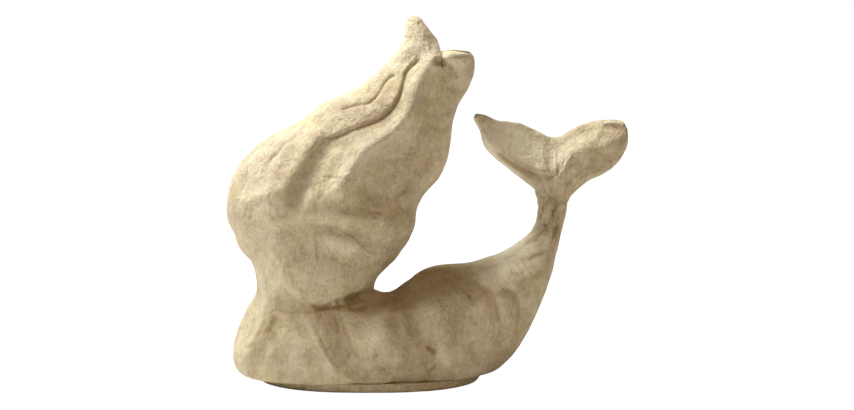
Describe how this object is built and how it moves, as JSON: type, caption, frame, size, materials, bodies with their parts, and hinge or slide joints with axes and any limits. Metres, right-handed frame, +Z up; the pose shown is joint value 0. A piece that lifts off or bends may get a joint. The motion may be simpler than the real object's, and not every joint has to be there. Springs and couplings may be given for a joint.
{
  "type": "mermaid figurine",
  "caption": "Hollow papier-mache mermaid lying with her head on her arms, hair streaming up to twisted ends and tail curled up to a fluke, on a flat base board.",
  "frame": {"origin": "centre of the base board's underside, on the surface the figure stands on", "axes": "+X along the body from her head to her tail, the longest extent; -Y towards the viewer in front of her face; +Z up"},
  "size_m": [0.1695, 0.0703, 0.1546],
  "materials": {
    "kraft_paper": null,
    "base_card": "thick board covered in the same matt kraft paper",
    "stiffener_card": "bare grey card, hidden inside the fluke",
    "rolled_paper": "tightly rolled and glued paper, hidden in the tail stalk"
  },
  "bodies": {
    "root": {"base_board": "base_card", "torso_front_shell": "kraft_paper", "torso_back_shell": "kraft_paper", "head_front_shell": "kraft_paper", "head_back_shell": "kraft_paper", "hair_front_shell": "kraft_paper", "hair_back_shell": "kraft_paper", "hair_end_back": "kraft_paper", "hair_end_front": "kraft_paper", "tail_front_shell": "kraft_paper", "tail_back_shell": "kraft_paper", "tail_core": "rolled_paper", "fluke_front_skin": "kraft_paper", "fluke_back_skin": "kraft_paper", "fluke_card": "stiffener_card", "neck_strip": "kraft_paper", "hairline_strip": "kraft_paper", "waist_strip": "kraft_paper", "stalk_wrap": "kraft_paper"}
  },
  "joints": []
}
